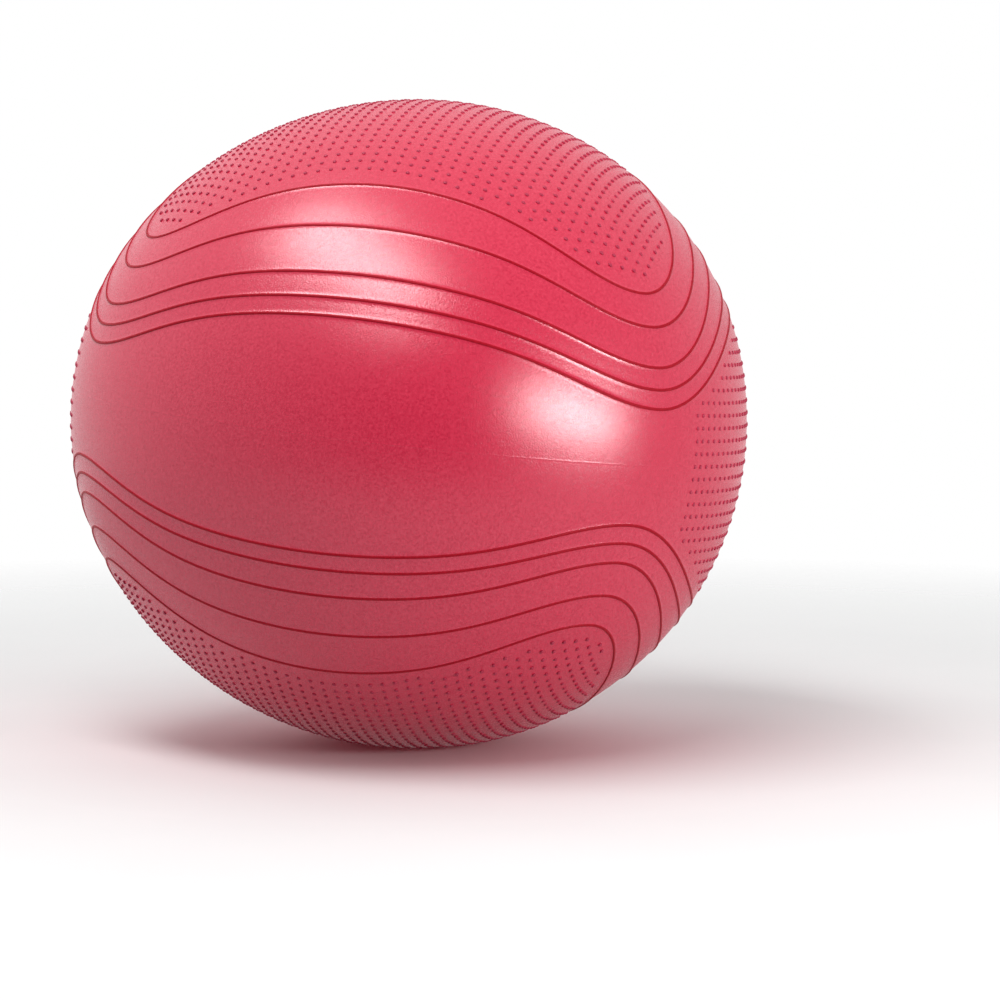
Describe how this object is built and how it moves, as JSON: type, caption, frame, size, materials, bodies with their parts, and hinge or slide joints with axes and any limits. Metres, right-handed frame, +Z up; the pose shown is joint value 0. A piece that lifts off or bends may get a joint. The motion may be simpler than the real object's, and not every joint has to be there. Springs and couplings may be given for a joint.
{
  "type": "exercise ball",
  "caption": "Inflated ball for sitting, stretching and balance exercise, with raised ribs and grip nubs on a soft skin and a push-in valve plug at the back.",
  "frame": {"origin": "middle of the flat patch that the ball rests on", "axes": "+Z up, -Y towards the plain front panel side of the ball, +Y towards the valve, +X to the right seen from the front"},
  "size_m": [0.6591, 0.659, 0.6298],
  "materials": {
    "ball_skin": "satin soft PVC with a fine grain, raised ribs and nubs a little deeper in colour",
    "valve_seat": "smooth satin soft PVC",
    "valve_plug": "milky white polyethylene, slightly waxy"
  },
  "bodies": {
    "ball": {"ball_shell": "ball_skin", "valve_seat": "valve_seat"},
    "plug": {"valve_plug": "valve_plug"}
  },
  "joints": [
    {"name": "plug_pull", "type": "slide", "parent": "ball", "child": "plug", "axis": [0.2401, 0.9691, 0.0561], "range_m": [0, 0.055]}
  ]
}
